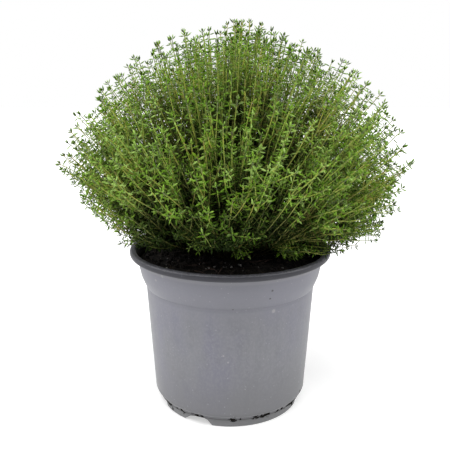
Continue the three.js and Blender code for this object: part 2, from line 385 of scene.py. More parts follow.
# potting mix left in the crease over the foot: direction in degrees, half width, strength
footDirt = ((-70, 10, 1.35), (-57, 5, 1.2), (-44, 2, 0.6), (-39.5, 1.6, 1.0), (-26, 3.5, 1.0), (-21, 1.2, 0.8),
            (2, 3.0, 1.0), (7.5, 0.9, 0.8), (22, 5.5, 1.0), (28, 3.5, 1.0), (38.5, 1.2, 1.0), (43, 1.2, 1.0),
            (51, 3.5, 1.0), (59, 6, 1.3), (68, 3, 1.2), (84, 3, 0.6), (112, 8, 0.8), (150, 5, 0.7),
            (-100, 6, 0.9), (-140, 7, 0.8), (176, 4, 0.6))

# single marks on the wall: direction in degrees, height, radius; dark ones are soil, pale ones are scuffs
darkMarks = ((24.3, 0.1208, 0.0011), (23.6, 0.1140, 0.0010), (1.4, 0.1063, 0.0007), (-45.6, 0.1300, 0.0009),
             (141, 0.090, 0.0012), (-150, 0.060, 0.0010))
paleMarks = ((27.8, 0.1018, 0.0021), (-42.4, 0.1284, 0.0016), (-49.4, 0.1225, 0.0013), (-4.6, 0.0668, 0.0010),
             (-1.6, 0.0612, 0.0010), (-162, 0.110, 0.0030), (118, 0.050, 0.0022))
# thicker dirt that runs over the foot ring and up the rounded corner
ringDirt = ((-55.5, 0.0060, 0.0028), (-54.2, 0.0024, 0.0017), (-59.5, 0.0056, 0.0034), (-64, 0.0076, 0.0032),
            (-69.5, 0.0098, 0.0026), (-73.5, 0.0116, 0.0018), (-51.5, 0.0088, 0.0012), (62.4, 0.0044, 0.0034),
            (64.6, 0.0078, 0.0030), (65.2, 0.0112, 0.0022), (65.3, 0.0146, 0.0017), (57.5, 0.0056, 0.0020),
            (-118, 0.0060, 0.0024), (133, 0.0070, 0.0026))


def paintDirt(obj):
    points = np.array([vertex.co for vertex in obj.data.vertices])
    bearing = np.degrees(np.arctan2(points[:, 0], -points[:, 1]))
    marks = np.zeros(len(points))
    for direction, halfWidth, strength in footDirt:
        away = np.abs((bearing - direction + 180) % 360 - 180)
        marks = np.maximum(marks, strength * np.clip(1.6 - away / halfWidth, 0, 1.1))
    addLayer(obj.data, "dirt", marks)


def wallMarks(tree, marks):
    # all the marks of one kind, as one mask
    mask = 0.0
    section, zones = potSection()
    outside = [point for point, zone in zip(section, zones) if zone == 0 and point[0] > pot["footRadius"] - 0.0002]
    for direction, height, radius in marks:
        wall = float(np.interp(height, [point[1] for point in outside], [point[0] for point in outside]))
        centre = (*facing(math.radians(direction), wall), height)
        mask = sums(tree, "MAXIMUM", place(tree, wallSpot, Centre=centre, Radius=radius)["Mask"], mask)
    return mask


def nearHeight(tree, height, reach, flat=0.3):
    # 1 at one height on the piece, and 0 beyond the reach on either side
    away = sums(tree, "ABSOLUTE", sums(tree, "SUBTRACT", ownParts(tree)["Z"], height))
    return between(tree, away, reach, reach * flat)


def dirtAndCreaseShade(tree):
    # potting mix in the crease over the foot and over the foot ring, with a ragged edge, and a painted shade line all
    # round the crease
    floor = pot["floorHeight"]
    crease = times(tree, nearHeight(tree, floor + 0.0004, 0.0050, 0.0), readAttribute(tree, "dirt"))
    crease = sums(tree, "MAXIMUM", crease, times(tree, wallMarks(tree, ringDirt), 0.95))
    ragged = place(tree, unevenTone, Scale=420.0, Stretch=1.6, Fine=1100.0)
    broad = between(tree, ragged["Tone"], 0.3, 0.7, -0.42, 0.42)
    rough = sums(tree, "ADD", broad, between(tree, ragged["Grain"], 0.3, 0.7, -0.15, 0.15))
    dirt = between(tree, sums(tree, "ADD", crease, rough), 0.52, 0.68)
    # painted shade: a thin dark line all round the crease over the foot
    return sums(tree, "MAXIMUM", dirt, times(tree, nearHeight(tree, floor + 0.0003, 0.0013), 0.5))


def greyPlastic():
    # weathered grey outside: patches, faint upright streaks, pale specks, scuffs, and dirt over the foot; painted
    # shade towards the foot, below the step and in the crease, painted light towards the collar and below the lip
    material, tree = newMaterial("grey recycled plastic")
    streaks = place(tree, unevenTone, Scale=170.0, Stretch=0.10, Fine=900.0)
    clouds = place(tree, unevenTone, Scale=22.0, Stretch=0.6, Fine=300.0)
    mottle = place(tree, unevenTone, Scale=620.0, Stretch=0.7, Fine=120.0)
    specks = place(tree, scatteredSpecks, Scale=430.0, Size=0.22, Share=0.22)["Mask"]
    patchy = times(tree, specks, between(tree, clouds["Grain"], 0.44, 0.58))
    height = ownParts(tree)["Z"]
    # this mask holds the dirt and the painted shade in the crease over the foot
    dirt = dirtAndCreaseShade(tree)
    dulled = times(tree, dirt, 0.45)
    base = layered(tree, (0.184, 0.184, 0.230), (
        (between(tree, clouds["Tone"], 0.38, 0.62), (0.192, 0.194, 0.214)),  # neutral patches on violet
        (between(tree, streaks["Tone"], 0.3, 0.7, 0.0, 0.30), (0.232, 0.234, 0.252)),
        (between(tree, mottle["Tone"], 0.42, 0.66, 0.0, 0.34), (0.262, 0.262, 0.280)),
        (between(tree, mottle["Grain"], 0.5, 0.72, 0.0, 0.16), (0.13, 0.13, 0.15)),
        # painted shade and light: the wall is darker towards the foot and paler towards the collar
        (between(tree, height, 0.070, 0.0, 0.0, 0.85), (0.150, 0.150, 0.156)),  # darker towards the foot
        (between(tree, height, 0.084, 0.118, 0.0, 0.75), (0.226, 0.226, 0.262)),  # paler towards the collar
        # painted highlight: a pale line below the lip
        (times(tree, nearHeight(tree, 0.1288, 0.0022), 0.35), (0.30, 0.30, 0.31)),  # a pale line below the lip
        # painted shade: a dark line below the step of the collar
        (times(tree, nearHeight(tree, 0.1050, 0.0030), 0.22), (0.13, 0.13, 0.16)),  # a dark one below the step
        (times(tree, patchy, 0.38), (0.42, 0.42, 0.44)),
        (times(tree, wallMarks(tree, paleMarks), 0.45), (0.44, 0.43, 0.42)),
        (times(tree, wallMarks(tree, darkMarks), 0.75), (0.035, 0.030, 0.028)),
        (times(tree, nearHeight(tree, 0.0034, 0.0036, 0.75), 0.55), (0.262, 0.266, 0.268)),  # the foot ring is paler
        # the dirt and the painted crease shade
        (dirt, (0.008, 0.007, 0.006)),
    ))
    return finished(material, {
        "Base Color": base,
        "Roughness": sums(tree, "MAXIMUM", between(tree, clouds["Tone"], 0.3, 0.7, 0.46, 0.6), dirt),
        # the dirt and the painted crease shade have none of the plastic's sheen
        "Sheen Weight": sums(tree, "SUBTRACT", 0.45, dulled), "Sheen Roughness": 0.35,
        "Specular IOR Level": sums(tree, "SUBTRACT", 0.5, dulled),
    }, (streaks["Grain"], 0.12, 0.0004))


def charcoalPlastic():
    # the rolled lip, where the black inner layer shows through; both its edges carry a painted highlight
    material, tree = newMaterial("charcoal lip plastic")
    tone = place(tree, unevenTone, Scale=40.0, Stretch=1.0, Fine=700.0)
    specks = place(tree, scatteredSpecks, Scale=300.0, Size=0.14, Share=0.10)
    unevenHighlight = between(tree, tone["Grain"], 0.3, 0.7, 0.25, 0.75)
    base = ramp(tree, tone["Tone"], [(0.3, (0.023, 0.023, 0.031)), (0.7, (0.038, 0.038, 0.049))])
    base = layered(tree, base, (
        (times(tree, specks["Mask"], 0.35), (0.2, 0.2, 0.21)),
        # painted highlights: an uneven one along the top edge, and one along the bottom edge
        (times(tree, nearHeight(tree, pot["height"], 0.0014), unevenHighlight), (0.17, 0.17, 0.19)),
        (times(tree, nearHeight(tree, pot["height"] - pot["lipHeight"], 0.0018), 0.4), (0.12, 0.12, 0.135)),
    ))
    roughness = between(tree, tone["Tone"], 0.3, 0.7, 0.36, 0.5)
    return finished(material, {"Base Color": base, "Roughness": roughness}, (tone["Grain"], 0.1, 0.0003))


def blackPlastic():
    material, tree = newMaterial("black inner plastic")
    tone = place(tree, unevenTone, Scale=30.0, Stretch=1.0, Fine=500.0)
    base = ramp(tree, tone["Tone"], [(0.3, (0.008, 0.008, 0.009)), (0.7, (0.02, 0.019, 0.019))])
    return finished(material, {"Base Color": base, "Roughness": between(tree, tone["Grain"], 0.3, 0.7, 0.5, 0.7)})


potPiece = makePot()
print("pot made:", len(potPiece.data.polygons), "faces")


# potting soil, with perlite and twigs

soil = {
    "level": 0.129, "crown": 0.003, "bump": 0.00045, "crumb": 0.0011, "edgeGap": 0.0006, "raised": 0.0004,
    "sides": 150, "rings": 56, "seed": 7,
}


def soilHeight(x, y):
    # the soil's low bumps, worked out in millimetres
    px, py = x * 1000, y * 1000
    share = np.hypot(x, y) / pot["collarTop"]
    bumps = np.sin(px * 0.21 + 1.3) * np.cos(py * 0.17) + np.sin(px * 0.09 - py * 0.13)
    return soil["level"] + soil["crown"] * (1 - share * share) + soil["bump"] * bumps


def crumbly(x, y):
    # small lumps on top of the low bumps
    px, py = x * 1000, y * 1000
    lumps = (np.sin(px * 1.31 + 2 * np.sin(py * 0.83)) * np.sin(py * 1.17 + 2 * np.sin(px * 0.71))
             + 0.6 * np.sin(px * 2.7 + py * 1.9) * np.sin(py * 3.1 - px * 2.2))
    return soil["crumb"] * 0.6 * lumps


def makeSoil():
    rng = np.random.default_rng(soil["seed"])
    gap, lift, sides = soil["edgeGap"], soil["raised"], soil["sides"]
    mouth = pot["collarTop"] - pot["wall"] - gap - 0.0004
    verts, rings, lowerRings = [], [], []
    for share in np.linspace(1.0, 0.02, soil["rings"]):
        rings.append(nextRing(verts, sides))
        for k in range(sides):
            x, y = facing(2 * math.pi * k / sides, mouth * share)
            lump = crumbly(x, y) + rng.uniform(-1, 1) * soil["crumb"] * 0.35 * min(share * 3, 1)
            verts.append((x, y, soilHeight(x, y) + lump * (1 if share < 1 else 0.3)))
    # the sides and the foot, a little inside the pot
    below = [(radius - pot["wall"] - gap, height + lift)
             for radius, height in (pot["collarFoot"], pot["waist"], pot["wallFoot"])]
    below += [(0.0614, pot["floorHeight"] + 0.0044), (0.0592, pot["floorHeight"] + pot["floorThickness"] + lift)]
    for radius, height in below:
        lowerRings.append(addRing(verts, radius, height, sides))
    order = lowerRings[::-1] + rings
    obj = newObject("pottingMix", verts, joinRings(order) + endFaces(order))
    obj.data.materials.append(darkSoil())
    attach(obj, "root")
    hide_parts("potting_soil")
    return obj


def darkSoil():
    material, tree = newMaterial("dark potting mix")
    tone = place(tree, unevenTone, Scale=160.0, Stretch=1.0, Fine=1400.0)
    fibre = place(tree, scatteredSpecks, Scale=520.0, Size=0.2, Share=0.10)
    stops = [(0.35, (0.006, 0.0055, 0.005)), (0.58, (0.018, 0.014, 0.012)), (0.75, (0.06, 0.045, 0.032))]
    base = layered(tree, ramp(tree, tone["Tone"], stops), [(times(tree, fibre["Mask"], 0.6), (0.09, 0.065, 0.045))])
    values = {"Base Color": base, "Roughness": 0.92, "Specular IOR Level": 0.25}
    return finished(material, values, (tone["Grain"], 0.8, 0.0006))


def litterMatter(name, scale, fine, dark, pale, roughness, bump):
    # a grainy material between two colours, for the grains and the twigs
    material, tree = newMaterial(name)
    tone = place(tree, unevenTone, Scale=scale, Stretch=1.0, Fine=fine)
    base = ramp(tree, tone["Tone"], [(0.3, dark), (0.7, pale)])
    return finished(material, {"Base Color": base, "Roughness": roughness}, (tone["Grain"], *bump))


def leaning(angle, towards, way):
    # the direction at an angle from one way towards another
    return np.sin(angle)[..., None] * towards + np.cos(angle)[..., None] * way


def tubeAlong(points, radii, sides, verts, faces):
    # a closed tube along a list of points, with its own turning frame
    points = np.asarray(points, float)
    ways = np.gradient(points, axis=0)
    ways /= np.linalg.norm(ways, axis=1)[:, None]
    side = np.cross(ways[0], (0.0, 0.0, 1.0) if abs(ways[0][2]) < 0.9 else (1.0, 0.0, 0.0))
    angles = np.arange(sides) * 2 * math.pi / sides
    rings = []
    for point, way, radius in zip(points, ways, radii):
        side = side - way * side.dot(way)
        side = side / np.linalg.norm(side)
        rings.append(nextRing(verts, sides))
        verts += list(point + radius * leaning(angles, np.cross(way, side), side))
    faces += joinRings(rings) + endFaces(rings)


litter = {
    "perliteCount": 170, "crumbCount": 900, "twigCount": 30, "seed": 11,
    "perliteSizes": (0.0003, 0.0005, 0.0007, 0.0010), "perliteShares": (0.25, 0.25, 0.3, 0.2),
    "crumbSizes": (0.0006, 0.0024), "twigReach": 0.066, "twigLengths": (0.008, 0.026), "twigRadii": (0.00025, 0.0006),
    # larger grains at the front: across, back, size
    "grains": ((-0.0215, -0.036, 0.0012), (-0.0125, -0.042, 0.0010), (-0.004, -0.035, 0.0013), (0.001, -0.044, 0.0010),
               (-0.017, -0.048, 0.0009), (0.0065, -0.039, 0.0009), (0.022, -0.046, 0.0008)),
}


def onSoil(rng, outermost=0.073):
    radius = math.sqrt(rng.uniform(0, 1)) * outermost
    a = rng.uniform(0, 2 * math.pi)
    return radius * math.cos(a), radius * math.sin(a)


def addLump(rng, spot, size, above, verts, faces):
    # one rough lump on the soil: three rings of six corners, with every corner moved
    x, y = spot
    z = soilHeight(x, y) + crumbly(x, y) + size * above
    turn = rng.uniform(0, math.pi)
    rings = []
    for level, radius in ((-0.55, 0.7), (0.1, 1.0), (0.62, 0.66)):
        rings.append(nextRing(verts, 6))
        for k in range(6):
            a = turn + k * math.pi / 3
            stretch = rng.uniform(0.72, 1.15)
            verts.append((x + size * radius * stretch * math.cos(a), y + size * radius * stretch * math.sin(a),
                          z + size * (level + rng.uniform(-0.12, 0.12))))
    faces += endFaces(rings) + joinRings(rings)


def makeGrains(rng):
    verts, faces = [], []
    for _ in range(litter["perliteCount"]):
        spot = onSoil(rng)
        addLump(rng, spot, rng.choice(litter["perliteSizes"], p=litter["perliteShares"]), 0.3, verts, faces)
    for x, y, size in litter["grains"]:
        addLump(rng, (x, y), size, 0.5, verts, faces)
    pale = ((0.09, 0.085, 0.08), (0.42, 0.41, 0.39))
    material = litterMatter("white perlite", 300.0, 1800.0, *pale, 0.85, (0.6, 0.0004))
    return newObject("perliteGrains", verts, faces, smooth=False), material


def makeCrumbs(rng):
    verts, faces = [], []
    for _ in range(litter["crumbCount"]):
        spot = onSoil(rng)
        addLump(rng, spot, rng.uniform(*litter["crumbSizes"]), 0.2, verts, faces)
    return newObject("soilCrumbs", verts, faces, smooth=False), darkSoil()


def makeTwigs(rng):
    verts, faces = [], []
    for _ in range(litter["twigCount"]):
        x, y = onSoil(rng, litter["twigReach"])
        heading = rng.uniform(0, 2 * math.pi)
        length = rng.uniform(*litter["twigLengths"])
        bend = rng.uniform(-1.2, 1.2)
        points = []
        for t in np.linspace(-0.5, 0.5, 9):
            turned = heading + bend * t
            px, py = x + length * t * math.cos(turned), y + length * t * math.sin(turned)
            lift = 0.0011 + 0.0022 * (0.25 - t * t) * rng.uniform(0.8, 1.2)
            points.append((px, py, soilHeight(px, py) + lift))
        thick = rng.uniform(*litter["twigRadii"])
        tubeAlong(points, np.linspace(thick, thick * 0.6, 9), 5, verts, faces)
    brown = ((0.025, 0.014, 0.011), (0.085, 0.048, 0.034))
    material = litterMatter("brown twig bark", 220.0, 1500.0, *brown, 0.8, (0.5, 0.0003))
    return newObject("soilTwigs", verts, faces), material


def makeLitter():
    # the soil's loose pieces, from one run of random draws
    rng = np.random.default_rng(litter["seed"])
    for make in (makeGrains, makeCrumbs, makeTwigs):
        piece, material = make(rng)
        piece.data.materials.append(material)
        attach(piece, "root")


soilPiece = makeSoil()
makeLitter()
print("soil made:", len(soilPiece.data.polygons), "faces")


# the thyme sprays

mound = {
    "count": 38, "seed": 24, "centre": 0.209, "radius": 0.142, "halfHeight": 0.1145, "taper": 0.7,
    "lowestTip": 116, "shortestReach": 0.93, "innerFeet": 0.005, "outerFeet": 0.032, "clumpBack": 0.010,
    "kneeShare": 0.3, "kneeRise": 0.015, "frontLift": 0.012, "rootDepth": 0.009, "footRise": 0.003,
    "nearestFork": 0.033, "furthestFork": 0.056, "sideShare": 0.88, "sideAngle": 44, "sideBend": 0.36,
    "sideSpread": 0.0155, "bareFoot": 0.008, "lowPair": 0.042,
    # the room for the tips of the finer shoots, a leaf's length inside the mound's own reach
    "room": (0.1338, 0.1286, 0.1116), "roomShift": 0.0026, "crownShift": 0.0030,
}

roomSize = np.array(mound["room"])
roomCentre = np.array([mound["roomShift"], 0.0, mound["centre"]])
goldenTurn = math.pi * (3 - math.sqrt(5))

shoots = {
    "perSpray": 22, "spread": 0.038, "leastReach": 0.77, "mostReach": 1.0, "lowestLevel": -0.54,
    "strayShare": 0.13, "strayReach": 1.045, "crownTaper": 0.13, "leftFoot": 0.14, "rightFoot": 0.18,
    "stemFoot": 0.0009, "stemTip": 0.00031, "sideStem": 0.0005, "twigStem": 0.00046, "lowStem": 0.0006,
    "stoutness": (0.55, 0.85), "skirtStoutness": 0.75, "toneSpread": 0.14,
    "wobble": 0.0010, "step": 0.006, "sideStep": 0.005, "footSpread": 0.0040,
    # at the front the shoots stand further apart, and those at the sides carry one more pair of side shoots
    "frontThin": 0.12, "thinFrom": 0.035, "thinOver": 0.04, "thinSides": 0.085, "thinSidesOver": 0.03,
    "fullSides": 0.065,
    "lowPerSpray": 3, "lowLength": (0.020, 0.055), "lipNear": 0.063, "lipWidth": 0.008, "lipClear": 0.0072,
    "sidesPerShoot": (1, 3), "sideLength": (0.012, 0.034), "sideLean": (16, 32), "missingSides": 0.18,
    "shortestSide": 0.008, "shortestParent": 0.035, "sideSpots": (0.16, 0.62),
    # the skirt: low shoots that lean out over the rim, on the sides and the back
    "skirtFrom": 0.5, "skirtPerSpray": 9, "skirtLevels": (-0.80, -0.42), "skirtReach": (0.66, 1.0),
    "rightSkirt": 0.12, "leftSkirt": -0.12, "bareFront": 52,
    # from which distance growth is held over the rim, and how far over it
    "rimFrom": 0.066, "kneeOverRim": 0.006, "overRimLeft": 0.0125, "overRimRight": 0.0045,
    "lowRimFrom": 0.070, "lowOverRim": 0.007,
    # no growth at the front hangs below this height, which rises towards the rim
    "clearHeight": 0.1305, "clearRise": 0.31, "clearAfter": 0.025, "frontFrom": -0.004,
    "clearWave": 0.0018, "clearWaveLength": 0.0055,
    # where it lies higher or lower: across, half width, by how much
    "clearBumps": ((-0.046, 0.013, 0.0065), (-0.006, 0.009, 0.0060),
                   (0.014, 0.009, -0.0040), (0.056, 0.014, -0.0050)),
    # the mound's outline bulges and draws in a little from level to level
    "outlineLevels": (-0.2, -0.1, 0.0, 0.12, 0.23, 0.34, 0.56, 0.67, 0.74, 0.82, 1.0),
    "outlineGains": (1.0, 1.0, 1.04, 1.04, 1.0, 1.05, 1.03, 1.06, 1.0, 0.93, 0.95),
}

# small leafy clumps that hang out over the soil in front, painted lighter: less painted shade round them, and a
# lighter tone
tufts = {
    "tips": ((0.0100, -0.061, 0.147), (-0.026, -0.056, 0.151), (0.043, -0.053, 0.146), (0.055, -0.040, 0.139)),
    "shoots": 8, "spread": (0.0085, 0.0045, 0.0045), "rise": 0.016, "lit": 1.15, "litReach": 0.016, "tone": 0.3,
}

leaves = {
    "length": 0.0046, "width": 0.238, "thickness": 0.00032, "fold": 0.28, "roll": 10,
    "tipSpacing": (0.0003, 0.0013, 0.0040, 0.0083), "spacing": (0.0041, 0.0056), "lowerSpacing": (0.0058, 0.0080),
    "leafyLength": 0.098, "wideAfter": 0.055,
    "tipSizes": (0.64, 0.96, 1.08, 1.06), "tipWidths": (1.65, 1.45, 1.25, 1.08, 0.96),
    "tipAngles": (14, 42, 74, 84), "angle": (80, 98), "bareFoot": 0.028, "plainDepth": 0.20, "toneSpread": 0.24,
    "curl": (0.02, 0.22), "oldFrom": 0.11, "shrink": 1.6, "fromStem": 0.0003,
    # how unlike each other the leaves are: in size and width, and in degrees or radians of lean and turn
    "sizeSpread": (0.84, 1.18), "widthSpread": (0.88, 1.12), "leanSpread": 6, "turnSpread": 0.14, "pairSpread": 0.07,
    # young leaves in the axils: their share of the pairs, the first pair with them, and their own measures
    "tuftShare": 0.25, "firstTuft": 4, "tuftLength": (0.0017, 0.0030), "tuftWidth": 0.42, "tuftLean": (22, 62),
    "tuftFromStem": 0.0005, "tuftCurl": (0, 0.15), "tuftLighter": 0.15, "tuftToneSpread": 0.12, "tuftAge": 0.6,
}


def scatter(number, use):
    value = math.sin((number + mound["seed"]) * 12.9898 + use * 78.233) * 43758.5453
    return value - math.floor(value)


def upBy(amount):
    return np.array([0, 0, amount])


def sprayPlan(number):
    # where a spray stands and where its tip reaches, by the same rule as the solid stems
    m = mound
    share = (number + 0.5) / m["count"]
    bearing = number * goldenTurn
    way = np.array([math.cos(bearing), math.sin(bearing), 0.0])
    root = way * mix(m["innerFeet"], m["outerFeet"], math.sqrt(share)) + np.array([0, m["clumpBack"], 0])
    ground = float(soilHeight(root[0], root[1]))
    foot = root + upBy(ground + m["footRise"])
    root = root + upBy(ground - m["rootDepth"])
    reach = mix(m["shortestReach"], 1.0, scatter(number, 1))
    level = 1 - (1 - math.cos(math.radians(m["lowestTip"]))) * share
    tip = way * m["radius"] * reach * (1 - level * level) ** m["taper"]
    tip[2] = m["centre"] + m["halfHeight"] * reach * level + m["frontLift"] * share * max(-way[1], 0) ** 2
    knee = mix(foot, tip, m["kneeShare"])
    knee[2] += m["kneeRise"] * share
    forkAt = mix(m["nearestFork"], m["furthestFork"], scatter(number, 5))
    return {"root": root, "foot": foot, "knee": knee, "tip": tip, "way": way, "share": share,
            "turn": scatter(number, 2) * math.pi, "forkAt": forkAt}


def bezier(first, middle, last, count):
    t = np.linspace(0, 1, count)[:, None]
    return (1 - t) ** 2 * first + 2 * t * (1 - t) * middle + t ** 2 * last


def unit(vectors):
    return vectors / np.linalg.norm(vectors, axis=-1, keepdims=True)


def runAlong(points):
    return np.concatenate([[0], np.cumsum(np.linalg.norm(np.diff(points, axis=0), axis=1))])


def clearOfLip(points):
    # lifts growth that passes over the pot's lip, far enough for its hanging leaves to miss it
    across = np.hypot(points[:, 0], points[:, 1])
    near = np.clip((across - shoots["lipNear"]) / shoots["lipWidth"], 0, 1)
    raised = np.array(points, float)
    raised[:, 2] += near * np.maximum(pot["height"] + shoots["lipClear"] - points[:, 2], 0)
    return raised


def makeTrack(points, side, step=shoots["step"]):
    # evenly spaced points along a curve, with the way it runs and a frame that turns with it
    points = clearOfLip(points)
    run = runAlong(points)
    stops = np.linspace(0, run[-1], max(4, int(run[-1] / step) + 1))
    even = np.stack([np.interp(stops, run, points[:, k]) for k in range(3)], axis=1)
    ways = np.gradient(even, axis=0)
    ways /= np.linalg.norm(ways, axis=1)[:, None]
    sides = np.zeros_like(even)
    for k, way in enumerate(ways):
        side = side - way * side.dot(way)
        side = side / np.linalg.norm(side)
        sides[k] = side
    return {"run": stops, "length": run[-1], "points": even, "ways": ways, "sides": sides}


def frameAt(track, fromTip):
    # the point, way, side and front of a stem at a distance from its tip
    spot = track["length"] - np.asarray(fromTip, float)
    point, way, side = [np.stack([np.interp(spot, track["run"], track[what][:, k]) for k in range(3)], axis=-1)
                        for what in ("points", "ways", "sides")]
    way, side = unit(way), unit(side)
    return point, way, side, np.cross(way, side)


def depthIn(points):
    # how deep in the mound a point is: 0 at the outside, 1 in the middle
    return 1 - np.clip(np.linalg.norm((points - roomCentre) / roomSize, axis=-1), 0, 1)


# painted shade: the low growth over the soil is painted darker too, and the crown painted lighter: from which height,
# over how much
shade = {"lowFrom": 0.215, "lowOver": 0.066, "inwardReach": 0.078, "inward": 1.88, "narrower": 1.35,
         "crownFrom": 0.245, "crownOver": 0.05, "crown": 0.17}


def shadeAt(points):
    # how much painted shade the growth at a point has: more deep in the mound and low over the soil near the middle,
    # less at the crown and round the hanging clumps
    s = shade
    low = np.clip((s["lowFrom"] - points[:, 2]) / s["lowOver"], 0, 1)
    across = np.hypot(s["narrower"] * points[:, 0], points[:, 1])
    inward = np.clip(s["inward"] - across / s["inwardReach"], 0, 1)
    crown = np.clip((points[:, 2] - s["crownFrom"]) / s["crownOver"], 0, 1)
    away = [np.sum((points - np.array(tip)) ** 2, axis=-1) for tip in tufts["tips"]]
    lit = np.exp(-np.min(away, axis=0) / tufts["litReach"] ** 2)
    return np.clip(depthIn(points) + low * inward - s["crown"] * crown - tufts["lit"] * lit, 0, 1)


class Foliage:
    # gathers the stems and leaves of one spray
    def __init__(self, tone):
        self.tone = tone
        self.stems = []
        self.blades = []
        self.plainBlades = []

    def addStem(self, track, footRadius, tipRadius, footAge):
        share = track["run"] / track["length"]
        self.stems.append((track, mix(footRadius, tipRadius, share ** 0.7), footAge * (1 - share)))

    def addBlades(self, plain, *columns):
        # leaves deep in the mound have the plainer shape
        deep = np.full(len(columns[0]), True) if plain else depthIn(columns[0]) > leaves["plainDepth"]
        for chosen, kept in ((deep, self.plainBlades), (~deep, self.blades)):
            if chosen.any():
                kept.append([column[chosen] for column in columns])


def rolled(ways, ups, rng):
    # leaves don't all lie flat: each is turned a little about its own length
    roll = np.radians(rng.normal(0, leaves["roll"], len(ways)))
    return leaning(roll, np.cross(ways, ups), ups)


def pairSpots(rng, leafyLength, length):
    # where the pairs stand, measured from the tip: closer towards it
    spots = list(leaves["tipSpacing"])
    leafyLength = min(leafyLength, leaves["leafyLength"] * rng.uniform(0.85, 1.15))
    while spots[-1] < leafyLength:
        far = min(spots[-1] / leaves["wideAfter"], 1)
        spots.append(spots[-1] + mix(rng.uniform(*leaves["spacing"]), rng.uniform(*leaves["lowerSpacing"]), far))
    return np.array([s for s in spots if s < min(leafyLength, length * 0.97)])


def leafUp(foliage, track, rng, leafyLength, tone, sizes=1.0):
    # opposite pairs, each a quarter turn from the last, and smaller towards the tip
    spots = pairSpots(rng, leafyLength, track["length"])
    if not len(spots):
        return
    count = len(spots)
    centre, way, side, front = frameAt(track, spots)
    order = np.arange(count)
    size = np.interp(order, np.arange(4), leaves["tipSizes"]) * leaves["length"] * sizes * (1 - leaves["shrink"] * spots)
    size = size * rng.uniform(*leaves["sizeSpread"], count)
    lean = np.interp(order, np.arange(4), leaves["tipAngles"])
    lean = np.where(order > 3, rng.uniform(*leaves["angle"], count), lean)
    turn = rng.uniform(0, math.pi) + order * math.pi / 2 + rng.normal(0, leaves["turnSpread"], count)
    width = np.interp(order, np.arange(5), leaves["tipWidths"]) * leaves["width"] * size
    ages = np.clip(spots / leaves["oldFrom"], 0, 1)
    for half in (0.0, math.pi):
        angle = turn + half + rng.normal(0, leaves["pairSpread"], count)
        out = leaning(angle, front, side)
        tilt = np.radians(lean + rng.normal(0, leaves["leanSpread"], count))
        ways = leaning(tilt, out, way)
        ups = rolled(ways, leaning(tilt, way, -out), rng)
        tones = np.clip(tone + rng.normal(0, leaves["toneSpread"], count), 0, 1)
        widths = width * rng.uniform(*leaves["widthSpread"], count)
        curls = rng.uniform(*leaves["curl"], count)
        foliage.addBlades(False, centre + out * leaves["fromStem"], ways, ups, size, widths, curls, tones, ages)
        # young leaves in the axils
        tufted = np.nonzero((rng.random(count) < leaves["tuftShare"]) & (order > leaves["firstTuft"]))[0]
        for spin in (-0.7, 0.7, 2.4):
            picked = tufted if spin < 2 else tufted[rng.random(len(tufted)) < 0.5]
            number = len(picked)
            if not number:
                continue
            heading = angle[picked] + spin * rng.uniform(0.6, 1.4, number)
            young = leaning(heading, front[picked], side[picked])
            tilt = np.radians(rng.uniform(*leaves["tuftLean"], number))
            long = rng.uniform(*leaves["tuftLength"], number)
            start = centre[picked] + out[picked] * leaves["tuftFromStem"] + way[picked] * leaves["tuftFromStem"]
            curls = rng.uniform(*leaves["tuftCurl"], number)
            tones = np.clip(tone + leaves["tuftLighter"] + rng.normal(0, leaves["tuftToneSpread"], number), 0, 1)
            foliage.addBlades(True, start, leaning(tilt, young, way[picked]), leaning(tilt, way[picked], -young),
                              long, long * leaves["tuftWidth"], curls, tones, ages[picked] * leaves["tuftAge"])


def wobbled(points, rng):
    # a stem is never quite straight
    count = len(points)
    t = np.linspace(0, 1, count)
    bend = np.zeros((count, 3))
    for wave in (1.0, 2.0, 3.5):
        phase = rng.uniform(0, 2 * math.pi, 3)
        bend += np.sin(2 * math.pi * wave * t[:, None] + phase) * rng.normal(0, shoots["wobble"] / wave, 3)
    return points + (bend - bend[0]) * np.minimum(1, t * 3)[:, None]


def outlineAt(level):
    # how wide the mound is at a level, as a share of its widest
    roundness = mound["taper"] - shoots["crownTaper"] * min(max((level - 0.5) / 0.4, 0), 1)
    return (1 - level * level) ** roundness * np.interp(level, shoots["outlineLevels"], shoots["outlineGains"])


def keptInside(point):
    # holds a tip inside the room that the mound gives it
    level = min(max((point[2] - mound["centre"]) / roomSize[2], -0.9), 0.995)
    widest = outlineAt(level) * shoots["strayReach"]
    kept = np.array(point, float) - roomCentre
    share = math.hypot(kept[0] / roomSize[0], kept[1] / roomSize[1]) / widest
    if share > 1:
        kept[:2] /= share
    kept[2] = level * roomSize[2]
    # the foot of the mound is drawn in on the left and fuller on the right
    foot = max(-level, 0)
    kept[0] *= 1 - shoots["leftFoot"] * foot if kept[0] < 0 else 1 + shoots["rightFoot"] * foot
    kept[0] += mound["crownShift"] * max(level, 0)
    kept[:2] = np.clip(kept[:2], -roomSize[:2], roomSize[:2])
    return kept + roomCentre


def overSoil(points, run=1.0):
    # lifts the front growth clear of the soil, except close to the foot of its stem
    uneven = shoots["clearWave"] * np.sin(points[..., 0] / shoots["clearWaveLength"])
    for across, halfWidth, rise in shoots["clearBumps"]:
        uneven = uneven + rise * np.exp(-((points[..., 0] - across) / halfWidth) ** 2)
    clear = shoots["clearHeight"] - shoots["clearRise"] * points[..., 1] + uneven
    full = (points[..., 1] < shoots["frontFrom"]) * np.clip(run / shoots["clearAfter"], 0, 1) ** 0.7
    raised = np.array(points, float)
    raised[..., 2] += np.maximum(clear - points[..., 2], 0) * full
    return raised


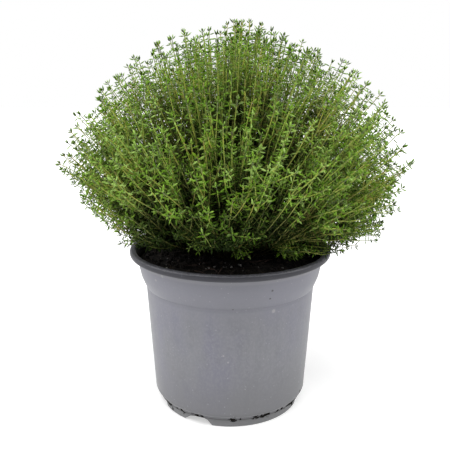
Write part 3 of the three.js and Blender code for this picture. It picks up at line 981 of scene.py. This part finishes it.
def risingCurve(start, tip, rng):
    # a low shoot leaves the foot flat, clears the rim and turns up towards its tip
    offset = tip - start
    level = (tip[2] - mound["centre"]) / roomSize[2]
    low = np.clip((0.7 - level) / 1.2, 0, 1) * rng.uniform(0.8, 1.15)
    front = max(-unit(offset[:2])[1], 0)
    across = 0.30 + (0.32 - 0.08 * front) * low
    up = 0.36 - (0.16 - 0.12 * front) * low
    knee = start + offset * (across, across, up)
    if math.hypot(tip[0], tip[1]) > shoots["rimFrom"]:
        knee[2] = max(knee[2], pot["height"] + shoots["kneeOverRim"])
    return bezier(start, knee, tip, 40)


def growSides(foliage, track, rng, tone, howMany):
    # side shoots in opposite pairs from the upper part of a shoot
    if howMany < 1 or track["length"] < shoots["shortestParent"]:
        return
    for spot in np.sort(rng.uniform(*shoots["sideSpots"], howMany)) * track["length"]:
        start, way, side, front = frameAt(track, spot)
        heading = rng.uniform(0, math.pi)
        for half in (0.0, math.pi):
            if rng.random() < shoots["missingSides"]:
                continue
            length = min(rng.uniform(*shoots["sideLength"]), spot * 0.85)
            if length < shoots["shortestSide"]:
                continue
            out = leaning(heading + half, front, side)
            lean = math.radians(rng.uniform(*shoots["sideLean"]))
            bend = start + leaning(lean * 1.5, out, way) * length * 0.4
            end = start + leaning(lean, out, way) * length
            end[2] += length * 0.08
            branch = makeTrack(bezier(start, bend, overSoil(keptInside(end)), 12), side, shoots["sideStep"])
            foliage.addStem(branch, shoots["twigStem"], shoots["stemTip"] * 0.85, 0.25)
            leafUp(foliage, branch, rng, length - 0.003, tone, 0.9)


def leafAbove(foliage, track, rng, tone):
    leafUp(foliage, track, rng, track["length"] - leaves["bareFoot"] - mound["rootDepth"], tone)


def mainShoot(foliage, plan, rng, tone):
    # the stem that the solid spray has, with its pair of side shoots
    m = mound
    turned = np.array([math.cos(plan["turn"]), math.sin(plan["turn"]), 0.0])
    curve = bezier(plan["foot"], plan["knee"], keptInside(plan["tip"]), 40)
    track = makeTrack(np.concatenate([[plan["root"]], curve]), turned)
    foliage.addStem(track, shoots["stemFoot"], shoots["stemTip"], 1.0)
    leafAbove(foliage, track, rng, tone)
    stem = track["length"] - m["rootDepth"] - m["footRise"]
    start, way, side, front = frameAt(track, plan["forkAt"])
    out = side if plan["forkAt"] + m["lowPair"] < stem - m["bareFoot"] else front
    length = plan["forkAt"] * m["sideShare"]
    firstAngle = math.radians(m["sideAngle"])
    lastAngle = math.asin(m["sideSpread"] / length)
    for outward in (out, -out):
        bend = start + leaning(firstAngle, outward, way) * length * m["sideBend"]
        end = start + leaning(lastAngle, outward, way) * length
        branch = makeTrack(bezier(start, bend, keptInside(end), 16), turned)
        foliage.addStem(branch, shoots["sideStem"], shoots["stemTip"], 0.3)
        leafUp(foliage, branch, rng, length - 0.004, tone)
        growSides(foliage, branch, rng, tone, 1)
    growSides(foliage, track, rng, tone, 3)


def footNear(plan, rng, rise):
    # a shoot's own foot, a little to one side of the spray's root
    return plan["root"] + np.array([*rng.normal(0, shoots["footSpread"], 2), rise])


def growShoot(foliage, foot, curve, rng, tone, stoutness=None):
    # a thin leafy stem up from its foot, a little lighter or darker than the spray
    points = wobbled(curve, rng)
    points = overSoil(points, runAlong(points))
    track = makeTrack(np.concatenate([[foot], points]), unit(rng.normal(0, 1, 3)))
    stoutness = stoutness or rng.uniform(*shoots["stoutness"])
    foliage.addStem(track, shoots["stemFoot"] * stoutness, shoots["stemTip"], 1.0)
    own = np.clip(tone + rng.normal(0, shoots["toneSpread"]), 0, 1)
    leafAbove(foliage, track, rng, own)
    return track, own


def growLow(foliage, start, curve, rng):
    # a short bare stem close over the soil, for its leaves
    track = makeTrack(np.concatenate([[start], curve]), unit(rng.normal(0, 1, 3)))
    foliage.addStem(track, shoots["lowStem"], shoots["stemTip"], 0.8)
    return track


def fineShoots(foliage, plan, rng, tone):
    # the thinner shoots from the same foot, fanned out over the spray's own share of the mound
    outward = unit((plan["tip"] - roomCentre) / roomSize ** 2)
    around = unit(np.cross(outward, (0.0, 0.0, 1.0)) if abs(outward[2]) < 0.98 else np.array([1.0, 0, 0]))
    over = np.cross(around, outward)
    first = rng.uniform(0, 2 * math.pi)
    for k in range(shoots["perSpray"]):
        reach = shoots["spread"] * math.sqrt((k + 0.7) / shoots["perSpray"]) * rng.uniform(0.85, 1.12)
        angle = first + k * goldenTurn
        target = plan["tip"] + reach * (math.cos(angle) * around + math.sin(angle) * over)
        local = unit((target - roomCentre) / roomSize)
        level = max(local[2], shoots["lowestLevel"] * rng.uniform(0.8, 1.0))
        flat = unit(local[:2]) * outlineAt(level)
        share = mix(shoots["leastReach"], shoots["mostReach"], rng.random() ** 0.55)
        if rng.random() < shoots["strayShare"]:
            share = rng.uniform(1.0, shoots["strayReach"])
        tip = roomCentre + np.array([flat[0], flat[1], level]) * roomSize * share
        tip[2] += mound["frontLift"] * plan["share"] * max(-local[1], 0) ** 2
        frontal = (np.clip((-tip[1] - shoots["thinFrom"]) / shoots["thinOver"], 0, 1)
                   * np.clip((shoots["thinSides"] - abs(tip[0])) / shoots["thinSidesOver"], 0, 1))
        if rng.random() < shoots["frontThin"] * frontal:
            continue
        foot = footNear(plan, rng, 0.002)
        start = foot + upBy(mound["rootDepth"] + rng.uniform(-0.002, 0.002))
        curve = risingCurve(start, overSoil(keptInside(tip)), rng)
        track, own = growShoot(foliage, foot, curve, rng, tone)
        fewest, most = shoots["sidesPerShoot"]
        pairs = rng.integers(fewest, most + 1) + (abs(tip[0]) > shoots["fullSides"])
        growSides(foliage, track, rng, own, int(pairs))


def skirtShoots(foliage, plan, rng, tone):
    # shoots that lean out low over the rim; none of them hide the soil at the front
    if plan["share"] < shoots["skirtFrom"]:
        return
    for _ in range(shoots["skirtPerSpray"]):
        bearing = math.atan2(plan["way"][1], plan["way"][0]) + rng.normal(0, 0.3)
        way = np.array([math.cos(bearing), math.sin(bearing)])
        if math.degrees(math.acos(np.clip(-way[1], -1, 1))) < shoots["bareFront"]:
            continue
        level = rng.uniform(*shoots["skirtLevels"])
        flat = way * (1 - level * level) ** mound["taper"] * rng.uniform(*shoots["skirtReach"])
        flat *= 1 + (shoots["rightSkirt"] if way[0] > 0 else shoots["leftSkirt"]) * abs(way[0])
        tip = np.array([*(flat * roomSize[:2]), mound["centre"] + level * roomSize[2]])
        if math.hypot(tip[0], tip[1]) > shoots["rimFrom"]:
            tip[2] = max(tip[2], pot["height"] + shoots["overRimRight" if tip[0] > 0 else "overRimLeft"])
        foot = footNear(plan, rng, 0.002)
        start = foot + upBy(mound["rootDepth"])
        knee = mix(start, tip, 0.55)
        knee[2] = max(knee[2], start[2]) + rng.uniform(0.004, 0.012)
        track, own = growShoot(foliage, foot, bezier(start, knee, tip, 30), rng, tone, shoots["skirtStoutness"])
        growSides(foliage, track, rng, own, 2)


def lowShoots(foliage, plan, rng, tone):
    # short leafy shoots round the foot, close over the soil
    for _ in range(shoots["lowPerSpray"]):
        heading = math.atan2(plan["way"][1], plan["way"][0]) + rng.normal(0, 1.1)
        length = rng.uniform(*shoots["lowLength"]) * (1 - 0.65 * max(-math.sin(heading), 0))
        way = unit(np.array([math.cos(heading), math.sin(heading), rng.uniform(0.5, 1.6)]))
        start = footNear(plan, rng, 0.003)
        collar = np.array([start[0], start[1], plan["foot"][2]])
        end = collar + way * length
        if math.hypot(end[0], end[1]) > shoots["lowRimFrom"]:
            end[2] = max(end[2], pot["height"] + shoots["lowOverRim"])
        points = bezier(collar, collar + upBy(0.35 * length), end, 16)
        track = growLow(foliage, start, overSoil(points, runAlong(points)), rng)
        leafUp(foliage, track, rng, length * 0.9, np.clip(tone - 0.1, 0, 1), 0.92)


def hangingTufts(foliage, number, plan, tone):
    # each clump grows from the spray whose foot is nearest to it
    rng = np.random.default_rng(7000 + number)
    for tip in tufts["tips"]:
        feet = [math.dist(sprayPlan(k)["foot"][:2], tip[:2]) for k in range(mound["count"])]
        if feet.index(min(feet)) != number:
            continue
        for _ in range(tufts["shoots"]):
            end = np.array(tip) + rng.uniform(-1, 1, 3) * tufts["spread"]
            start = footNear(plan, rng, 0.003)
            collar = np.array([start[0], start[1], plan["foot"][2]])
            knee = mix(collar, end, 0.45) + upBy(tufts["rise"])
            track = growLow(foliage, start, bezier(collar, knee, end, 16), rng)
            # painted light: the clumps' leaves have a lighter tone
            leafUp(foliage, track, rng, track["length"] * 0.6, tone + tufts["tone"])


# a blade in its own measures, corner by corner: across, along, up, and 1 where the blade folds down
bladeCorners = [(0, 0, 0, 0), (0.8, 0.24, 0, 1), (0.96, 0.55, 0, 1), (0, 1, 0, 0), (-0.96, 0.55, 0, 1),
                (-0.8, 0.24, 0, 1), (0, 0.24, 1, 0), (0, 0.62, 1, 0), (0, 0.24, -1, 0), (0, 0.62, -1, 0)]
bladeFaces = [(0, 1, 6), (1, 2, 7), (1, 7, 6), (2, 3, 7), (3, 4, 7), (4, 6, 7), (4, 5, 6), (5, 0, 6),
              (1, 0, 8), (2, 1, 9), (9, 1, 8), (3, 2, 9), (4, 3, 9), (8, 4, 9), (5, 4, 8), (0, 5, 8)]
plainCorners = [(0, 0, 0, 0), (0.95, 0.42, 0, 1), (0, 1, 0, 0), (-0.95, 0.42, 0, 1), (0, 0.42, 1, 0), (0, 0.42, -1, 0)]
plainFaces = [(0, 1, 4), (1, 2, 4), (2, 3, 4), (3, 0, 4), (1, 0, 5), (2, 1, 5), (3, 2, 5), (0, 3, 5)]


def bladeArrays(batches, corners, faces):
    # every blade at once: its points, faces, tone, age and painted shade
    origins, ways, ups, lengths, widths, curls, tones, ages = [np.concatenate(part) for part in zip(*batches)]
    across, along, up, edge = np.array(corners).T
    sideways = np.cross(ways, ups)
    reach = lengths[:, None] * along
    lift = up * leaves["thickness"] - edge * leaves["fold"] * widths[:, None]
    lift = lift - curls[:, None] * lengths[:, None] * along ** 2
    points = (origins[:, None, :] + sideways[:, None, :] * (widths[:, None] / 2 * across)[..., None]
              + ways[:, None, :] * reach[..., None] + ups[:, None, :] * lift[..., None])
    count, size = points.shape[:2]
    offsets = np.arange(count)[:, None, None] * size
    marks = [np.repeat(values, size) for values in (tones, ages, shadeAt(origins))]
    under = np.tile(np.arange(len(faces)) >= len(faces) / 2, count)
    return points.reshape(-1, 3), (np.array(faces)[None] + offsets).reshape(-1, 3), marks, under


def stemArrays(stems, tone, sides=5):
    # every stem of a spray at once, as tubes of triangles with closed ends
    angles = np.arange(sides) * 2 * math.pi / sides
    allPoints, allFaces, allAges, start = [], [], [], 0
    for track, radii, ages in stems:
        fronts = np.cross(track["ways"], track["sides"])
        rounds = leaning(angles, fronts[:, None, :], track["sides"][:, None, :])
        points = track["points"][:, None, :] + radii[:, None, None] * rounds
        k = np.arange(sides)
        n = (k + 1) % sides
        low = start + np.arange(len(points) - 1)[:, None] * sides
        a, b, c, d = low + k, low + n, low + sides + n, low + sides + k
        last = start + (len(points) - 1) * sides
        caps = [(start, start + j + 1, start + j) for j in range(1, sides - 1)]
        caps += [(last, last + j, last + j + 1) for j in range(1, sides - 1)]
        allFaces += [np.stack(corners, -1).reshape(-1, 3) for corners in ([a, b, c], [a, c, d])] + [caps]
        allPoints.append(points.reshape(-1, 3))
        allAges.append(np.repeat(ages, sides))
        start += len(points) * sides
    points, faces = np.concatenate(allPoints), np.concatenate(allFaces)
    marks = [np.full(len(points), tone), np.concatenate(allAges), shadeAt(points)]
    return points, faces, marks, np.zeros(len(faces))


def sprayMesh(name, foliage):
    # leaves have the first material, stems the second
    parts = (bladeArrays(foliage.blades, bladeCorners, bladeFaces),
             bladeArrays(foliage.plainBlades, plainCorners, plainFaces), stemArrays(foliage.stems, foliage.tone))
    starts = np.cumsum([0] + [len(part[0]) for part in parts[:-1]])
    points = np.concatenate([part[0] for part in parts])
    faces = np.concatenate([part[1] + start for part, start in zip(parts, starts)])
    kinds = np.concatenate([np.full(len(part[1]), kind) for part, kind in zip(parts, (0, 0, 1))])
    mesh = bpy.data.meshes.new(name)
    mesh.vertices.add(len(points))
    mesh.vertices.foreach_set("co", points.astype(np.float32).ravel())
    mesh.loops.add(len(faces) * 3)
    mesh.loops.foreach_set("vertex_index", faces.astype(np.int32).ravel())
    mesh.polygons.add(len(faces))
    mesh.polygons.foreach_set("loop_start", np.arange(len(faces), dtype=np.int32) * 3)
    mesh.polygons.foreach_set("material_index", kinds.astype(np.int32))
    mesh.polygons.foreach_set("use_smooth", np.ones(len(faces), bool))
    mesh.update(calc_edges=True)
    for key, values in zip(("tone", "age", "paintedShade"), zip(*[part[2] for part in parts])):
        addLayer(mesh, key, np.concatenate(values))
    addLayer(mesh, "under", np.concatenate([part[3] for part in parts]), "FACE")
    return inScene(name, mesh)


def paintedShadeLayers(tree, darkest):
    # painted shade: leaves and stems are darker the deeper they are in the plant
    paintedShade = readAttribute(tree, "paintedShade")
    return ((between(tree, paintedShade, 0.08, 0.50, 0.0, darkest), (0.006, 0.016, 0.001)),
            (between(tree, paintedShade, 0.62, 0.95, 0.0, 0.75), (0.001, 0.003, 0.001)))


def oliveMask(tree, strength):
    # older growth turns olive here and there
    patches = place(tree, unevenTone, Scale=34.0, Stretch=0.8, Fine=90.0)
    both = sums(tree, "ADD", patches["Tone"], times(tree, patches["Grain"], 0.5))
    return times(tree, between(tree, both, 0.76, 0.90), strength)


def plantSurface(material, base, specular, roughness, grain, bump):
    # what the leaves and the stems share: little gloss, and a fine uneven surface
    tree = material.node_tree
    rough = between(tree, grain, 0.3, 0.7, *roughness)
    values = {"Base Color": base, "Specular IOR Level": specular, "Roughness": rough}
    return finished(material, values, (grain, bump, 0.0002))


def leafGreen():
    # small matt leaves: yellow-green young ones, deeper and bluer old ones
    material, tree = newMaterial("thyme leaf green")
    tone = readAttribute(tree, "tone")
    uneven = place(tree, unevenTone, Scale=260.0, Stretch=1.0, Fine=1600.0)
    young = ramp(tree, tone, [(0.0, (0.150, 0.225, 0.060)), (0.3, (0.104, 0.226, 0.008)),
                              (0.6, (0.204, 0.372, 0.034)), (0.95, (0.350, 0.525, 0.130))])
    old = ramp(tree, tone, [(0.0, (0.160, 0.155, 0.046)), (0.12, (0.106, 0.176, 0.060)), (0.3, (0.048, 0.132, 0.007)),
                            (0.6, (0.092, 0.214, 0.026)), (0.95, (0.215, 0.328, 0.105))])
    base = layered(tree, young, (
        (readAttribute(tree, "age"), old),
        (between(tree, uneven["Tone"], 0.35, 0.7, 0.0, 0.25), (0.12, 0.18, 0.055)),
        (oliveMask(tree, 0.22), (0.190, 0.205, 0.014)),
        # painted shade: the underside of each leaf is darker
        (times(tree, readAttribute(tree, "under"), 0.7), (0.026, 0.050, 0.006)),  # the shaded underside
        *paintedShadeLayers(tree, 0.90),
    ))
    return plantSurface(material, base, 0.07, (0.48, 0.66), uneven["Grain"], 0.25)


def stemGreen():
    # green at the tip, yellow-green further down, brown and woody at the foot
    material, tree = newMaterial("thyme stem")
    uneven = place(tree, unevenTone, Scale=200.0, Stretch=0.4, Fine=1400.0)
    woody = times(tree, sums(tree, "SUBTRACT", uneven["Tone"], 0.5), 0.45)
    woody = sums(tree, "ADD", readAttribute(tree, "age"), woody)
    base = ramp(tree, woody, [(0.0, (0.15, 0.18, 0.09)), (0.08, (0.42, 0.53, 0.09)), (0.35, (0.74, 0.76, 0.225)),
                              (0.66, (0.62, 0.50, 0.16)), (0.92, (0.125, 0.075, 0.045))])
    base = layered(tree, base, ((oliveMask(tree, 0.50), (0.50, 0.38, 0.07)), *paintedShadeLayers(tree, 0.70)))
    return plantSurface(material, base, 0.2, (0.45, 0.65), uneven["Grain"], 0.3)


def makeSprays():
    materials = (leafGreen(), stemGreen())
    faceCount = 0
    for number in range(mound["count"]):
        rng = np.random.default_rng(1000 + number)
        plan = sprayPlan(number)
        tone = float(np.clip(0.5 + rng.normal(0, shoots["toneSpread"]), 0, 1))
        foliage = Foliage(tone)
        for grow in (mainShoot, fineShoots, skirtShoots, lowShoots):
            grow(foliage, plan, rng, tone)
        hangingTufts(foliage, number, plan, tone)
        obj = sprayMesh(f"thymeSpray{number + 1:02d}", foliage)
        for material in materials:
            obj.data.materials.append(material)
        faceCount += len(obj.data.polygons)
        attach(obj, "root")
        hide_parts(f"thyme_spray_{number + 1:02d}")
    print("sprays made:", mound["count"], "with", faceCount, "faces")


makeSprays()


# floor, light and camera

studio = {
    "floorSize": 8.0, "floorGlow": 0.50, "sky": 0.42,
    # name, direction it shines from (turn from the front, height), softness in degrees, strength
    "lamps": (("overheadKey", (-10, 68), 36, 2.3), ("leftSide", (-84, 34), 50, 1.66), ("rightSide", (84, 34), 50, 1.48)),
}

view = {"distance": 0.540, "height": 0.28647, "sideways": -0.0043, "lookDown": 13.685, "lens": 52.39}


def makeFloor():
    half = studio["floorSize"] / 2
    corners = [(-half, -half, 0), (half, -half, 0), (half, half, 0), (-half, half, 0)]
    floor = newObject("floor", corners, [[0, 1, 2, 3]])
    material, tree = newMaterial("pale floor")
    tone = place(tree, unevenTone, Scale=3.0, Stretch=1.0, Fine=60.0)
    base = ramp(tree, tone["Tone"], [(0.0, (0.63, 0.63, 0.63)), (1.0, (0.65, 0.65, 0.65))])
    # a little glow that only the camera sees keeps it a plain pale floor, as in the photo
    glow = times(tree, seenByCamera(tree), studio["floorGlow"])
    values = {"Base Color": base, "Roughness": 0.7, "Emission Color": (1.0, 1.0, 1.0), "Emission Strength": glow}
    floor.data.materials.append(finished(material, values))


def makeLight():
    scene.world = bpy.data.worlds.new("studio")
    scene.world.use_nodes = True
    sky = scene.world.node_tree
    backdrop = sky.nodes["Background"]
    feed(sky, backdrop.inputs["Color"], (1.0, 1.0, 1.0))
    # the camera sees a white backdrop, and the plant is lit by a dimmer one
    feed(sky, backdrop.inputs["Strength"], between(sky, seenByCamera(sky), 0.0, 1.0, studio["sky"], 1.0))
    for name, (turn, rise), softness, strength in studio["lamps"]:
        data = bpy.data.lights.new(name, "SUN")
        data.angle = math.radians(softness)
        data.energy = strength
        lamp = inScene(name, data)
        spot = Vector((*facing(math.radians(turn), math.cos(math.radians(rise))), math.sin(math.radians(rise))))
        lamp.location = spot * 1.5
        lamp.rotation_euler = spot.to_track_quat("Z", "Y").to_euler()
    scene.view_settings.view_transform = "Standard"


def makeCamera():
    data = bpy.data.cameras.new("photoView")
    data.lens = view["lens"]
    data.sensor_width = 36.0
    data.clip_start = 0.01
    scene.camera = inScene("photoView", data)
    scene.camera.location = (view["sideways"], -view["distance"], view["height"])
    scene.camera.rotation_euler = (math.radians(90 - view["lookDown"]), 0, 0)


makeFloor()
makeLight()
makeCamera()
print("studio made")
